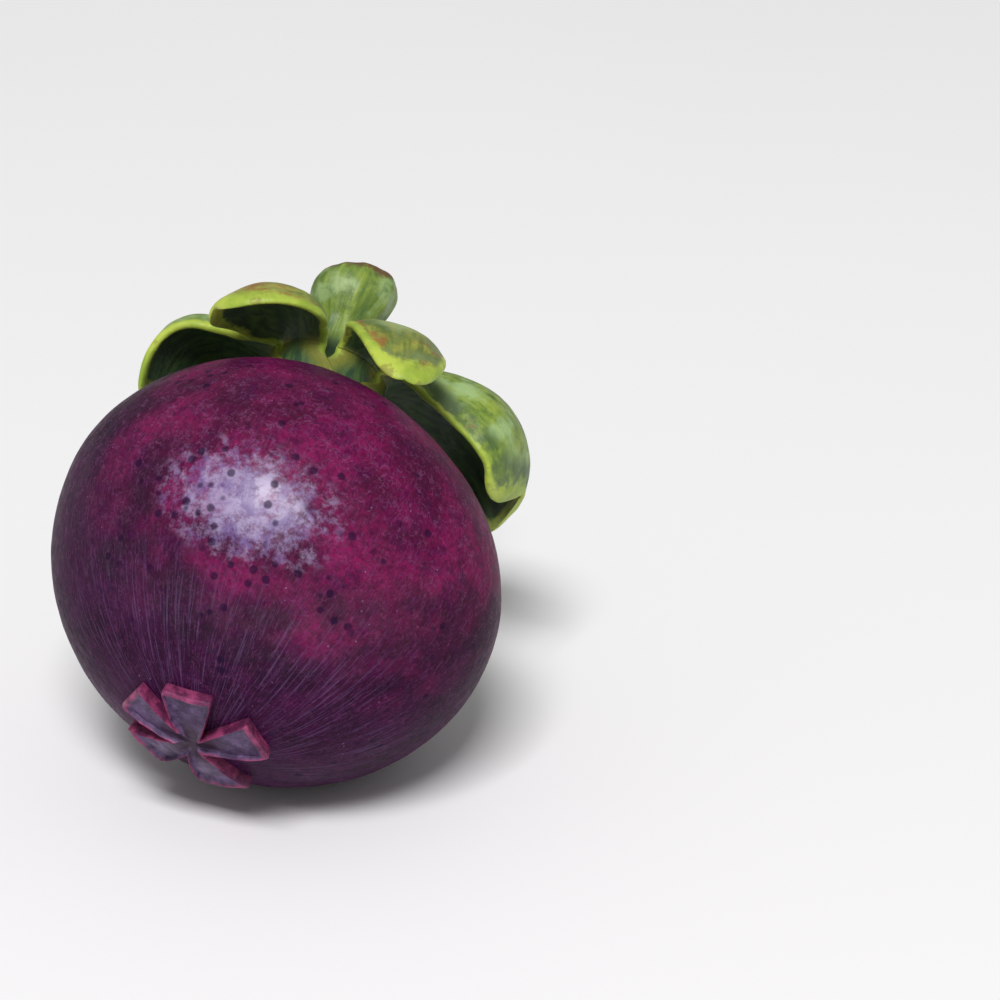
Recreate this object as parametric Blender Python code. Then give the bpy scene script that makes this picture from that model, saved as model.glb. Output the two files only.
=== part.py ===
"""A whole mangosteen lying on its side on a small flat spot.

It is one solid fruit with a stigma rosette at one end and, at the other, a stub of stem with a collar
and four thick sepals. All lengths are in metres and all angles in degrees.

Two frames carry the pieces. The fruit's frame has its origin at the fruit's centre and its Z axis along
the fruit's axis, towards the stem. The calyx frame has its origin at the middle of the calyx and its Z
axis along the stem. In both, X points to one side of the fruit and Y to its back.
"""
import math

import bmesh
import bpy
from mathutils import Matrix, Vector

# How the fruit lies: its axis leans from the vertical towards +Y and a little towards +X.
FRUIT_LEAN = 55.0
FRUIT_HEADING = 24.0
FRUIT_SPIN = 24.0

# The fruit: a round body, a little shorter than it is wide.
FRUIT_RADIUS = 0.0300
STEM_END = 0.0254
STIGMA_END = 0.0282
SQUARENESS = 2.0
FLAT_SPOT_DEPTH = 0.0006

# One cheek grew flatter than the rest. Its direction is in the fruit's frame.
CHEEK_DIRECTION = Vector((0.63, -0.15, 0.76)).normalized()
CHEEK_DEPTH = 0.0025
CHEEK_SPREAD = 50.0

# Five faint ribs run down the rind, in line with the stigma's lobes.
RIB_COUNT = 5
RIB_HEIGHT = 0.00010
RIB_BEARING = -36.0

# The calyx sits a little off the fruit's axis.
CALYX_SHIFT_X = -0.0045
CALYX_HEIGHT = 0.0275
CALYX_TILT = -4.0

# The gap that neighbouring pieces keep.
GAP = 0.0003

# The collar is a skirt that follows the rind. The stem rises from it; its side is given as (height in
# the calyx frame, radius), from the top of the collar to the cut end.
COLLAR_RADIUS = 0.0086
COLLAR_THICKNESS = 0.0009
COLLAR_RINGS = 4
STEM_PROFILE = (
    (-0.0012, 0.0070),
    (0.0000, 0.0058),
    (0.0014, 0.0046),
    (0.0030, 0.0039),
    (0.0050, 0.0036),
    (0.0070, 0.0038),
    (0.0088, 0.0046),
    (0.0104, 0.0054),
    (0.0123, 0.0057),
    (0.0140, 0.0054),
    (0.0151, 0.0045),
    (0.0155, 0.0030),
)
STEM_TOP_HEIGHT = 0.0155
STEM_TOP_SLOPE = 0.18
STEM_RIDGES = 9
STEM_RIDGE_DEPTH = 0.03
STEM_SIDES = 27

# The stigma: its lobes as (bearing, length, half-width of the outer end), each with a raised rim round
# a shallow hollow. They meet in a low hub.
STIGMA_LOBES = (
    (-36.0, 0.0092, 0.0034),
    (-106.0, 0.0090, 0.0034),
    (-166.0, 0.0095, 0.0030),
    (-232.0, 0.0097, 0.0033),
    (-300.0, 0.0103, 0.0036),
)
STIGMA_SHIFT = (-0.0015, -0.0034)
LOBE_FOOT_HALF_WIDTH = 0.0009
LOBE_CORNER_SHARPNESS = 9.0
LOBE_REACHES_TO_SIDE = 85.0
RIM_HEIGHT = 0.0017
RIM_WIDTH = 0.0009
HOLLOW_HEIGHT = 0.0010
HUB_HEIGHT = 0.0007

# The sepals. Each spine is a Bezier curve in an upright plane through the calyx's axis, given by four
# (distance from the axis, height) points. "swing" turns the plane sideways towards the tip and "roll"
# tips the blade sideways. "left" and "right" are the two halves, as seen from the stem: (half-width,
# how far it curls down). "widest" is where along the spine each half is widest and "fullness" is how
# square the tip is. "foot" is the half-width at the collar.
SEPAL_THICKNESS = 0.0018
FOOT_CURL_SHARE = 0.6
CURL_REACHED = 0.4
CURL_UPRIGHTNESS = 0.65
RIND_CLEARANCE = 0.0005
CLEARANCE_SOFTNESS = 0.0006
SEPALS = {
    "sepal_outer_left": {
        "bearing": 158.0,
        "swing": 0.0,
        "spine": ((0.0072, 0.0010), (0.0115, 0.0038), (0.0228, 0.0072), (0.0223, -0.0086)),
        "left": (0.0114, 58.0),
        "right": (0.0140, 72.0),
        "widest": (0.49, 0.49),
        "fullness": 2.2,
        "roll": 17.03,
        "foot": 0.0055,
    },
    "sepal_inner_left": {
        "bearing": -130.0,
        "swing": -10.62,
        "spine": ((0.0068, 0.0008), (0.0086, 0.0061), (0.0172, 0.0043), (0.0208, -0.0026)),
        "left": (0.0103, 60.7),
        "right": (0.0074, 52.0),
        "widest": (0.50, 0.25),
        "fullness": 2.2,
        "roll": 21.36,
        "foot": 0.0044,
    },
    "sepal_inner_right": {
        "bearing": -56.0,
        "swing": -8.42,
        "spine": ((0.0065, 0.0010), (0.0082, 0.0046), (0.0180, 0.0063), (0.0231, -0.0078)),
        "left": (0.0075, 40.0),
        "right": (0.0067, 25.8),
        "widest": (0.49, 0.49),
        "fullness": 2.2,
        "roll": 24.23,
        "foot": 0.0044,
    },
    "sepal_outer_right": {
        "bearing": 14.0,
        "swing": 0.0,
        "spine": ((0.0070, 0.0008), (0.0103, 0.0083), (0.0292, 0.0111), (0.0302, -0.0045)),
        "left": (0.0155, 78.0),
        "right": (0.0167, 94.0),
        "widest": (0.59, 0.59),
        "fullness": 3.0,
        "roll": 18.72,
        "foot": 0.0055,
    },
}

# How finely the pieces are divided.
FRUIT_CUTS = 18
SEPAL_ROWS = 15
SEPAL_COLUMNS = 14
STIGMA_RINGS = 7
LOBE_SAMPLES = (-1.10, -1.02, -0.97, -0.90, -0.75, -0.50, -0.25, 0.0, 0.25, 0.50, 0.75, 0.90, 0.97, 1.02, 1.10)
NORMAL_STEP = 0.004

# Each piece's colour and roughness.
FINISHES = {
    "fruit": ((0.16, 0.02, 0.07), 0.35),
    "stigma": ((0.22, 0.04, 0.12), 0.55),
    "stem": ((0.28, 0.36, 0.08), 0.55),
    "sepal": ((0.24, 0.38, 0.06), 0.45),
}


def cosd(angle):
    return math.cos(math.radians(angle))


def sind(angle):
    return math.sin(math.radians(angle))


def mix(a, b, share):
    return a + (b - a) * share


def smoothstep(low, high, value):
    share = min(max((value - low) / (high - low), 0.0), 1.0)
    return share * share * (3.0 - 2.0 * share)


def clear_scene():
    for old in list(bpy.data.objects):
        bpy.data.objects.remove(old, do_unlink=True)


def make_material(name, finish):
    colour, roughness = FINISHES[finish]
    material = bpy.data.materials.new(name)
    material.use_nodes = True
    shader = material.node_tree.nodes["Principled BSDF"]
    shader.inputs["Base Color"].default_value = (*colour, 1.0)
    shader.inputs["Roughness"].default_value = roughness
    shader.inputs["Metallic"].default_value = 0.0
    return material


def add_object(name, bm, finish, parent):
    """Makes the named object from a bmesh, with its own material, and hangs it on its frame."""
    mesh = bpy.data.meshes.new(name)
    bmesh.ops.recalc_face_normals(bm, faces=bm.faces)
    bm.to_mesh(mesh)
    bm.free()
    mesh.materials.append(make_material(name, finish))
    mesh.shade_smooth()
    piece = bpy.data.objects.new(name, mesh)
    bpy.context.scene.collection.objects.link(piece)
    piece.parent = parent
    return piece


def add_frame(name, matrix, parent=None):
    frame = bpy.data.objects.new(name, None)
    frame.empty_display_size = 0.01
    bpy.context.scene.collection.objects.link(frame)
    frame.parent = parent
    frame.matrix_local = matrix
    return frame


def fruit_turn():
    """The fruit's lie as a turn from its own frame to the world's."""
    heading = Matrix.Rotation(math.radians(-FRUIT_HEADING), 4, "Z")
    lean = Matrix.Rotation(math.radians(-FRUIT_LEAN), 4, "X")
    spin = Matrix.Rotation(math.radians(FRUIT_SPIN), 4, "Z")
    return heading @ lean @ spin


def fruit_radius(direction):
    """How far the rind lies from the fruit's centre in a direction, which is a unit vector."""
    across = math.hypot(direction.x, direction.y)
    end = STEM_END if direction.z > 0.0 else STIGMA_END
    body = (across / FRUIT_RADIUS) ** SQUARENESS + (abs(direction.z) / end) ** SQUARENESS
    radius = body ** (-1.0 / SQUARENESS)
    off_cheek = math.degrees(direction.angle(CHEEK_DIRECTION)) / CHEEK_SPREAD
    radius -= CHEEK_DEPTH * math.exp(-off_cheek * off_cheek)
    bearing = math.atan2(direction.y, direction.x) - math.radians(RIB_BEARING)
    return radius + RIB_HEIGHT * across * across * math.cos(RIB_COUNT * bearing)


def on_rind(direction, height=0.0):
    """The point in a direction that stands this high above the rind."""
    unit = direction.normalized()
    return unit * (fruit_radius(unit) + height)


def fruit_down():
    """The world's down, in the fruit's frame."""
    return fruit_turn().to_3x3().transposed() @ Vector((0.0, 0.0, -1.0))


def fruit_height():
    """The height of the fruit's centre as it rests on its flat spot."""
    return fruit_radius(fruit_down()) - FLAT_SPOT_DEPTH


def calyx_matrix():
    """The calyx frame in the fruit's frame."""
    place = Matrix.Translation((CALYX_SHIFT_X, 0.0, CALYX_HEIGHT))
    return place @ Matrix.Rotation(math.radians(CALYX_TILT), 4, "Y")


def fruit_mesh():
    """A cube of even squares blown up to the fruit's shape, with the resting spot cut flat."""
    bm = bmesh.new()
    bmesh.ops.create_cube(bm, size=2.0)
    bmesh.ops.subdivide_edges(bm, edges=bm.edges, cuts=FRUIT_CUTS, use_grid_fill=True)
    for vertex in bm.verts:
        even = Vector([math.tan(part * math.pi / 4.0) for part in vertex.co])
        vertex.co = on_rind(even)
    down = fruit_down()
    cut = bmesh.ops.bisect_plane(
        bm,
        geom=bm.verts[:] + bm.edges[:] + bm.faces[:],
        plane_co=down * fruit_height(),
        plane_no=down,
        clear_outer=True,
    )
    rim = [part for part in cut["geom_cut"] if isinstance(part, bmesh.types.BMEdge)]
    spot = bmesh.ops.contextual_create(bm, geom=rim)["faces"]
    bmesh.ops.poke(bm, faces=spot)
    return bm


def calyx_on_rind(turn, distance, height):
    """The place, in the calyx frame, beside its axis and this high above the rind."""
    to_fruit = calyx_matrix()
    aim = to_fruit @ Vector((distance * math.cos(turn), distance * math.sin(turn), 0.0))
    return to_fruit.inverted() @ on_rind(aim, height)


def stem_ring(place):
    """A ring's points round the stem. place gives the point at a turn, in radians."""
    return [place(2.0 * math.pi * side / STEM_SIDES) for side in range(STEM_SIDES)]


def stem_point(turn, height, radius):
    """A point on the stem's ridged side."""
    share = height / STEM_TOP_HEIGHT
    ridge = STEM_RIDGE_DEPTH * smoothstep(0.1, 0.4, share) * (1.0 - smoothstep(0.85, 1.0, share))
    reach = radius * (1.0 + ridge * math.cos(STEM_RIDGES * turn))
    x = reach * math.cos(turn)
    sloped = smoothstep(0.5, 1.0, share) * STEM_TOP_SLOPE
    return Vector((x, reach * math.sin(turn), height + sloped * x))


def stem_mesh():
    """The collar's foot along the rind, its rim, and then the stem, as rings closed by a fan at each end."""
    shares = [(ring + 1) / COLLAR_RINGS for ring in range(COLLAR_RINGS)]
    rings = [stem_ring(lambda turn, s=share: calyx_on_rind(turn, s * COLLAR_RADIUS, GAP)) for share in shares]
    rings.append(stem_ring(lambda turn: calyx_on_rind(turn, COLLAR_RADIUS, GAP + COLLAR_THICKNESS)))
    for height, radius in STEM_PROFILE:
        rings.append(stem_ring(lambda turn, h=height, r=radius: stem_point(turn, h, r)))
    bm = bmesh.new()
    rows = [[bm.verts.new(point) for point in ring] for ring in rings]
    for low, high in zip(rows, rows[1:]):
        bridge(bm, low, high)
    fan(bm, rows[0], calyx_on_rind(0.0, 0.0, GAP))
    fan(bm, rows[-1], Vector((0.0, 0.0, STEM_TOP_HEIGHT)))
    return bm


def bridge(bm, low, high):
    """Joins two rings of as many vertices with squares."""
    count = len(low)
    for i in range(count):
        j = (i + 1) % count
        bm.faces.new((low[i], low[j], high[j], high[i]))


def fan(bm, ring, centre):
    """Closes a ring with triangles round a point."""
    middle = bm.verts.new(centre)
    count = len(ring)
    for i in range(count):
        bm.faces.new((ring[i], ring[(i + 1) % count], middle))


def lobe_reach(offset, length, half_width):
    """How far a wedge-shaped lobe reaches at an angle from its middle line."""
    side = abs(offset)
    end = length / cosd(side)
    slope = (half_width - LOBE_FOOT_HALF_WIDTH) / length
    opening = sind(side) - slope * cosd(side)
    if opening <= 0.0:
        return end
    flank = LOBE_FOOT_HALF_WIDTH / opening
    power = LOBE_CORNER_SHARPNESS
    return (end**-power + flank**-power) ** (-1.0 / power)


def stigma_bearings():
    """Bearings round the rosette, close together where a lobe's flank is steep."""
    bearings = []
    for bearing, length, half_width in STIGMA_LOBES:
        spread = math.degrees(math.atan2(half_width, length))
        bearings += [bearing + spread * sample for sample in LOBE_SAMPLES]
        bearings.append(bearing - 180.0 / len(STIGMA_LOBES))
    return sorted(bearing % 360.0 for bearing in bearings)


def stigma_reach(bearing):
    """How far the rosette reaches at a bearing: as far as its longest lobe there."""
    reaches = []
    for middle, length, half_width in STIGMA_LOBES:
        offset = (bearing - middle + 180.0) % 360.0 - 180.0
        if abs(offset) < LOBE_REACHES_TO_SIDE:
            reaches.append(lobe_reach(offset, length, half_width))
    return max(reaches)


def stigma_height(share, reach):
    """The rosette's height at a share of its reach: hub, hollow and raised rim."""
    hollow = mix(HUB_HEIGHT, HOLLOW_HEIGHT, smoothstep(0.1, 0.5, share))
    from_edge = (1.0 - share) * reach
    rim = (1.0 - smoothstep(0.6, 1.6, from_edge / RIM_WIDTH)) * smoothstep(0.25, 0.6, share)
    return mix(hollow, RIM_HEIGHT, rim)


def stigma_point(bearing, distance, height):
    """A point over the stigma end of the rind."""
    x = distance * cosd(bearing) + STIGMA_SHIFT[0]
    y = distance * sind(bearing) + STIGMA_SHIFT[1]
    angle = math.hypot(x, y) / STIGMA_END
    flat = Vector((x, y, 0.0)).normalized()
    direction = flat * math.sin(angle) - Vector((0.0, 0.0, 1.0)) * math.cos(angle)
    return on_rind(direction, height)


def stigma_mesh():
    """The rosette: rings round its hub, with a top that follows the lobes and a foot along the rind."""
    bm = bmesh.new()
    bearings = stigma_bearings()
    shares = [math.sin(math.pi / 2.0 * ring / STIGMA_RINGS) for ring in range(1, STIGMA_RINGS + 1)]
    tops = []
    feet = []
    for share in shares:
        top = []
        foot = []
        for bearing in bearings:
            reach = stigma_reach(bearing)
            distance = share * reach
            top.append(bm.verts.new(stigma_point(bearing, distance, stigma_height(share, reach))))
            foot.append(bm.verts.new(stigma_point(bearing, distance, GAP)))
        tops.append(top)
        feet.append(foot)
    for rings in (tops, feet):
        for low, high in zip(rings, rings[1:]):
            bridge(bm, low, high)
    bridge(bm, tops[-1], feet[-1])
    fan(bm, tops[0], stigma_point(0.0, 0.0, HUB_HEIGHT))
    fan(bm, feet[0], stigma_point(0.0, 0.0, GAP))
    return bm


def sepal_spine(spec, share):
    """The spine's distance from the axis and height, and its slope, at a share of its length."""
    p0, p1, p2, p3 = (Vector(point) for point in spec["spine"])
    rest = 1.0 - share
    place = p0 * rest**3 + p1 * (3.0 * rest**2 * share) + p2 * (3.0 * rest * share**2) + p3 * share**3
    way = (p1 - p0) * rest**2 + (p2 - p1) * (2.0 * rest * share) + (p3 - p2) * share**2
    return place, way.normalized()


def sepal_side(spec, across):
    """The full width, curl and widest share of the half that a place lies in."""
    half, widest = ("left", spec["widest"][0]) if across < 0.0 else ("right", spec["widest"][1])
    full, curl = spec[half]
    return full, curl, widest


def sepal_half_width(spec, share, full, widest):
    """The width of one half: narrow at the foot, widest part-way and round at the tip."""
    if share < widest:
        return mix(spec["foot"], full, smoothstep(0.0, widest, share))
    past = (share - widest) / (1.0 - widest)
    return full * max(1.0 - past ** spec["fullness"], 0.0) ** (1.0 / spec["fullness"])


def sepal_middle(spec, share, across):
    """A point of the sepal's middle surface. across runs from -1 at its left edge to 1 at its right."""
    place, way = sepal_spine(spec, share)
    bearing = spec["bearing"] + spec["swing"] * share
    outward = Vector((cosd(bearing), sind(bearing), 0.0))
    upward = Vector((0.0, 0.0, 1.0))
    left = Vector((-sind(bearing), cosd(bearing), 0.0))
    normal = outward * -way.y + upward * way.x
    roll = spec["roll"] * share
    sideways = left * cosd(roll) + normal * sind(roll)
    raised = (normal * cosd(roll) - left * sind(roll)).lerp(upward, CURL_UPRIGHTNESS).normalized()
    full, full_curl, widest = sepal_side(spec, across)
    curl = math.radians(full_curl) * mix(FOOT_CURL_SHARE, 1.0, smoothstep(0.0, CURL_REACHED, share))
    width = sepal_half_width(spec, share, full, widest)
    turn = curl * abs(across)
    side = -math.copysign(width * math.sin(turn) / curl, across)
    drop = width * (1.0 - math.cos(turn)) / curl
    return outward * place.x + upward * place.y + sideways * side - raised * drop


def sepal_edge_distance(spec, share, across):
    """About how far a place on the sepal is from its edge."""
    full, _, widest = sepal_side(spec, across)
    if share < widest:
        return (1.0 - abs(across)) * sepal_half_width(spec, share, full, widest)
    past = (share - widest) / (1.0 - widest)
    out = math.sqrt(past * past + across * across * (1.0 - past * past))
    return (1.0 - out) * min(spec["left"][0], spec["right"][0])


def sepal_half_thickness(edge_distance):
    """Full inside the sepal and rounded off at its edge."""
    half = SEPAL_THICKNESS / 2.0
    short = 1.0 - min(edge_distance / half, 1.0)
    return half * math.sqrt(max(1.0 - short * short, 0.0))


def clear_of_rind(point, clearance):
    """Eases a calyx point outwards so that it stays at least this far above the rind."""
    to_fruit = calyx_matrix()
    inside = to_fruit @ point
    unit = inside.normalized()
    least = fruit_radius(unit) + clearance
    spare = inside.length - least
    eased = (spare + math.hypot(spare, CLEARANCE_SOFTNESS)) / 2.0
    return to_fruit.inverted() @ (unit * (least + eased))


def sepal_surface(spec, share, across):
    """The middle surface, lifted where it would sink into the rind."""
    point = sepal_middle(spec, share, across)
    return clear_of_rind(point, SEPAL_THICKNESS / 2.0 + RIND_CLEARANCE)


def sepal_normal(spec, share, across):
    """The direction square to the middle surface, away from the rind."""
    here = min(share, 1.0 - NORMAL_STEP)
    low = max(here - NORMAL_STEP, 0.0)
    high = min(here + NORMAL_STEP, 1.0 - NORMAL_STEP)
    left = max(across - NORMAL_STEP, -1.0)
    right = min(across + NORMAL_STEP, 1.0)
    along = sepal_surface(spec, high, across) - sepal_surface(spec, low, across)
    side = sepal_surface(spec, here, right) - sepal_surface(spec, here, left)
    return side.cross(along).normalized()


def sepal_skins(spec, share, across):
    """The points on the sepal's top and underside. They are one point at its edge."""
    middle = sepal_surface(spec, share, across)
    if abs(across) == 1.0:
        return middle, middle
    half = sepal_half_thickness(sepal_edge_distance(spec, share, across))
    offset = sepal_normal(spec, share, across) * half
    return middle + offset, middle - offset


def sepal_mesh(spec):
    """Two skins that meet in a round edge, closed at the foot by a strip and at the tip by a point."""
    bm = bmesh.new()
    tops = []
    undersides = []
    for row in range(SEPAL_ROWS):
        share = math.sin(math.pi / 2.0 * row / SEPAL_ROWS)
        top = []
        underside = []
        for column in range(SEPAL_COLUMNS + 1):
            across = -math.cos(math.pi * column / SEPAL_COLUMNS)
            high, low = sepal_skins(spec, share, across)
            top.append(bm.verts.new(high))
            underside.append(bm.verts.new(low) if high != low else top[-1])
        tops.append(top)
        undersides.append(underside)
    tip = bm.verts.new(sepal_surface(spec, 1.0, 0.0))
    for rows in (tops, undersides):
        for low, high in zip(rows, rows[1:]):
            for i in range(SEPAL_COLUMNS):
                bm.faces.new((low[i], low[i + 1], high[i + 1], high[i]))
        for i in range(SEPAL_COLUMNS):
            bm.faces.new((rows[-1][i], rows[-1][i + 1], tip))
    for i in range(SEPAL_COLUMNS):
        corners = [tops[0][i], tops[0][i + 1], undersides[0][i + 1], undersides[0][i]]
        bm.faces.new(list(dict.fromkeys(corners)))
    return bm


def build():
    clear_scene()
    rest = Matrix.Translation((0.0, 0.0, fruit_height())) @ fruit_turn()
    fruit_frame = add_frame("fruit_frame", rest)
    calyx_frame = add_frame("calyx_frame", calyx_matrix(), fruit_frame)
    add_object("fruit", fruit_mesh(), "fruit", fruit_frame)
    add_object("stigma", stigma_mesh(), "stigma", fruit_frame)
    add_object("stem", stem_mesh(), "stem", calyx_frame)
    for name, spec in SEPALS.items():
        add_object(name, sepal_mesh(spec), "sepal", calyx_frame)


build()
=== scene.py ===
"""The looks of a whole mangosteen that lies on its side on a pale floor.

Every piece takes the shape of its CAD node and adds what the CAD leaves out: the rind's fine relief, the
sepals' wavy margins and the claws that hold them, the stem's ridges and cut end, and the rims and hollows
of the stigma rosette. All lengths are in metres and all angles in degrees.

The fruit's frame has its origin at the fruit's centre and its Z axis towards the stem. The calyx frame
has its origin at the middle of the calyx and its Z axis along the stem. In both, X points to one side of
the fruit and Y to its back.
"""
import math

import bmesh
import bpy
import numpy as np
from mathutils import Matrix, Vector, noise


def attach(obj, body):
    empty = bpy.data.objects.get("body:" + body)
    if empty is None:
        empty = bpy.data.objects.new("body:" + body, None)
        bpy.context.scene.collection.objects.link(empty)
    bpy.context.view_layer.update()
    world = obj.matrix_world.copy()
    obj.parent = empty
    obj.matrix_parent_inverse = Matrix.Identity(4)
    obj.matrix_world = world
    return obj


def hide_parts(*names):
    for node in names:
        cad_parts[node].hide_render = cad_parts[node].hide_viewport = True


# ---------------------------------------------------------------- the fruit's lie and body

FRUIT_LEAN = 55.0
FRUIT_HEADING = 24.0
FRUIT_SPIN = 24.0
FRUIT_RADIUS = 0.0300
STEM_END = 0.0254
STIGMA_END = 0.0282
CHEEK_DIRECTION = (0.63, -0.15, 0.76)
CHEEK_DEPTH = 0.0025
CHEEK_SPREAD = 50.0
RIB_COUNT = 5
RIB_HEIGHT = 0.00010
RIB_BEARING = -36.0
FLAT_SPOT_DEPTH = 0.0006
CALYX_SHIFT_X = -0.0045
CALYX_HEIGHT = 0.0275
CALYX_TILT = -4.0

# The rind's relief: (size of a feature, how high it stands), coarse to fine.
RIND_RELIEF = ((0.0100, 0.00016), (0.0034, 0.00004), (0.0013, 0.00002))
RIND_SEED = 3.0
RIND_CUTS = 112

# Directions from the fruit's centre to the middle of the painted light, where the rind is painted redder and
# lighter as if lit, and to the middle of the painted highlight, a pale lavender patch, and how far that
# patch spreads from there along each axis, for a fruit of radius 1.
PAINTED_LIGHT_FACING = (0.16, -0.90, 0.40)
PAINTED_HIGHLIGHT_FACING = (-0.20, -0.95, -0.22)
PAINTED_HIGHLIGHT_REACH = (0.52, 0.31, 0.31)

# ---------------------------------------------------------------- the sepals

# The blade is thin at its edge and thickens over SEPAL_THICKENS, a pair of distances in from the edge.
# Each half curls down from the spine, first by FOOT_CURL_SHARE of its curl and by all of it from
# CURL_REACHED on. CURL_UPRIGHTNESS is how far that curl turns from square to the spine to straight down.
SEPAL_THICKNESS = 0.0018
SEPAL_EDGE_THICKNESS = 0.0011
SEPAL_THICKENS = (0.0006, 0.0036)
FOOT_CURL_SHARE = 0.6
CURL_REACHED = 0.4
CURL_UPRIGHTNESS = 0.65
RIND_CLEARANCE = 0.0005
CLEARANCE_SOFTNESS = 0.0006

# Each spine is a Bezier curve in an upright plane through the calyx's axis, given by four (distance from
# the axis, height) points. "swing" turns the plane sideways towards the tip and "roll" tips the blade
# sideways. "left" and "right" are the two halves, as seen from the stem: (half-width, how far it curls).
# "widest" is where along the spine each half is widest, "fullness" is how square the tip is and "foot" is
# the half-width at the collar. "blush" says how brown-red its colours are and "shade" how dark the painted
# shade beside its rim is.
SEPALS = {
    "sepal_outer_left": {
        "bearing": 158.0,
        "swing": 0.0,
        "spine": ((0.0072, 0.0010), (0.0115, 0.0038), (0.0228, 0.0072), (0.0223, -0.0086)),
        "left": (0.0114, 58.0),
        "right": (0.0140, 72.0),
        "widest": (0.49, 0.49),
        "fullness": 2.2,
        "roll": 17.03,
        "foot": 0.0055,
        "blush": 0.05,
        "shade": 0.1,
    },
    "sepal_inner_left": {
        "bearing": -130.0,
        "swing": -10.62,
        "spine": ((0.0068, 0.0008), (0.0086, 0.0061), (0.0172, 0.0043), (0.0208, -0.0026)),
        "left": (0.0103, 60.7),
        "right": (0.0074, 52.0),
        "widest": (0.5, 0.25),
        "fullness": 2.2,
        "roll": 21.36,
        "foot": 0.0037,
        "blush": 0.55,
        "shade": 0.05,
    },
    "sepal_inner_right": {
        "bearing": -56.0,
        "swing": -8.42,
        "spine": ((0.0065, 0.0010), (0.0082, 0.0046), (0.0180, 0.0063), (0.0231, -0.0078)),
        "left": (0.0075, 40.0),
        "right": (0.0067, 25.8),
        "widest": (0.49, 0.49),
        "fullness": 2.2,
        "roll": 24.23,
        "foot": 0.0037,
        "blush": 0.35,
        "shade": 0.55,
    },
    "sepal_outer_right": {
        "bearing": 14.0,
        "swing": 0.0,
        "spine": ((0.0070, 0.0008), (0.0103, 0.0083), (0.0292, 0.0111), (0.0302, -0.0045)),
        "left": (0.0155, 78.0),
        "right": (0.0167, 94.0),
        "widest": (0.59, 0.59),
        "fullness": 3.0,
        "roll": 18.72,
        "foot": 0.0055,
        "blush": 0.0,
        "shade": 0.8,
    },
}

# Each sepal goes on past its foot in a claw, which wraps the collar and runs down into the rind. Its length
# and where it spreads are shares of the spine, and the blade has opened out of the wrap by WRAP_ENDS.
CLAW_SHARE = 0.22
CLAW_OUT = 0.0004
CLAW_DROP = 0.0046
CLAW_SPREAD = 1.7
CLAW_SPREADS_FROM = 0.03
CLAW_SPREADS_TO = 0.21
WRAP_ENDS = 0.24
SEPAL_ROWS = 96
SEPAL_COLUMNS = 72
SEPAL_RELIEF = ((0.0060, 0.00020), (0.0016, 0.00005))
SEPAL_FIRST_SEED = 20.0
NORMAL_STEP = 0.003

# ---------------------------------------------------------------- the stem

# The profile is (height, radius) up the stem's side, over its rim and in to the middle of its cut end.
STEM_TOP_HEIGHT = 0.0155
STEM_PROFILE = (
    (-0.0052, 0.0068),
    (-0.0030, 0.0067),
    (-0.0012, 0.0064),
    (0.0000, 0.0057),
    (0.0014, 0.0046),
    (0.0030, 0.0039),
    (0.0050, 0.0036),
    (0.0070, 0.0038),
    (0.0088, 0.0046),
    (0.0104, 0.0053),
    (0.0123, 0.0057),
    (0.0140, 0.0054),
    (0.0151, 0.0047),
    (0.0156, 0.0039),
    (0.0155, 0.0030),
    (0.0151, 0.0016),
    (0.0150, 0.0002),
)
STEM_BEND = -0.0001
STEM_TOP_SLOPE = 0.18
STEM_RIDGES = 9
STEM_RIDGE_DEPTH = 0.022
STEM_RIDGES_FADE_IN = (0.001, 0.006)
STEM_RIDGES_REACH_IN = (0.0005, 0.004)
STEM_SLOPES_OVER = (0.004, 0.014)
STEM_RELIEF = ((0.0035, 0.00025), (0.0008, 0.00009))
STEM_RELIEF_STRETCH = (1.0, 1.0, 0.3)
STEM_SEED = 7.0
STEM_RINGS = 120
STEM_SIDES = 216

# ---------------------------------------------------------------- the stigma rosette

# Each lobe is (bearing, length, half-width of its outer end).
STIGMA_LOBES = (
    (-36.0, 0.0092, 0.0034),
    (-106.0, 0.0090, 0.0034),
    (-166.0, 0.0095, 0.0030),
    (-232.0, 0.0097, 0.0033),
    (-300.0, 0.0103, 0.0036),
)
STIGMA_SHIFT = (-0.0015, -0.0034)
LOBE_FOOT_HALF_WIDTH = 0.0009
LOBE_CORNER_SHARPNESS = 9.0
LOBE_REACHES_TO_SIDE = 85.0
RIM_HEIGHT = 0.0017
RIM_WIDTH = 0.0009
HOLLOW_HEIGHT = 0.0010
HUB_HEIGHT = 0.0007
STIGMA_SINKS = 0.0008
STIGMA_RELIEF = ((0.0022, 0.00016), (0.0008, 0.00006))
STIGMA_SEED = 11.0
STIGMA_RINGS = 44
STIGMA_SIDES = 540

# ---------------------------------------------------------------- colours, as screen values from 0 to 255

# The rind's colours, coarse to fine.
# The first four are painted light and shade: a redder, lighter lit side and a dark shaded side.
PAINTED_LIT_DARK = (80, 12, 52)
PAINTED_LIT_BRIGHT = (122, 18, 76)
PAINTED_SHADE_DARK = (38, 12, 38)
PAINTED_SHADE_BRIGHT = (56, 18, 54)
RIND_VIOLET = (62, 10, 58)
# Painted sheen: a lighter violet towards the stem end.
RIND_PAINTED_SHEEN = (96, 34, 82)
RIND_GRAIN = (42, 8, 32)
RIND_CURLS = (134, 82, 124)
RIND_STROKES = (112, 52, 102)
RIND_RAYS = (106, 82, 126)
# Painted highlight: a pale lavender patch on the rind, in darker and brighter tones.
PAINTED_HIGHLIGHT_DARK = (112, 92, 146)
PAINTED_HIGHLIGHT_BRIGHT = (158, 144, 180)
RIND_SPOTS = (32, 16, 46)
RIND_FLECKS = (150, 114, 150)

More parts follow.
